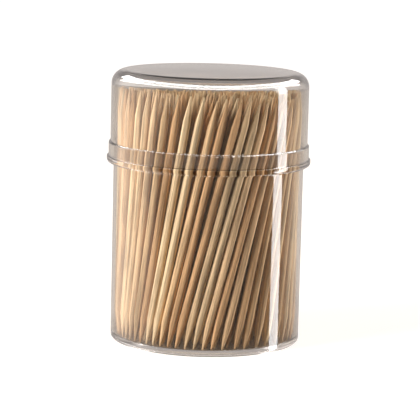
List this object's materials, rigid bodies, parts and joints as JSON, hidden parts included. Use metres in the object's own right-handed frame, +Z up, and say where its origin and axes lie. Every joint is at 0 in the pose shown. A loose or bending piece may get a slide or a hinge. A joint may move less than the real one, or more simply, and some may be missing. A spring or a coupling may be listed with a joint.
{
  "type": "tub of toothpicks",
  "caption": "Clear round plastic tub with a lift-off lid, packed full of round wooden toothpicks that stand in a slightly twisted bundle.",
  "frame": {"origin": "centre of the tub's base, on the surface that it stands on", "axes": "+Z up along the tub's axis, through the lid; the front faces -Y"},
  "size_m": [0.0528, 0.0528, 0.0701],
  "materials": {
    "clear_plastic": "clear gloss",
    "toothpick_wood": "plain sanded wood"
  },
  "bodies": {
    "tub": {"tub": "clear_plastic", "middle_toothpick": "toothpick_wood", "toothpick_ring_1": "toothpick_wood", "toothpick_ring_2": "toothpick_wood", "toothpick_ring_3": "toothpick_wood", "toothpick_ring_4": "toothpick_wood", "toothpick_ring_5": "toothpick_wood", "toothpick_ring_6": "toothpick_wood", "toothpick_ring_7": "toothpick_wood", "toothpick_ring_8": "toothpick_wood", "toothpick_ring_9": "toothpick_wood", "toothpick_ring_10": "toothpick_wood"},
    "lid": {"lid": "clear_plastic"}
  },
  "joints": [
    {"name": "lid_lift", "type": "slide", "parent": "tub", "child": "lid", "axis": [0, 0, 1], "range_m": [0, 0.03]}
  ]
}
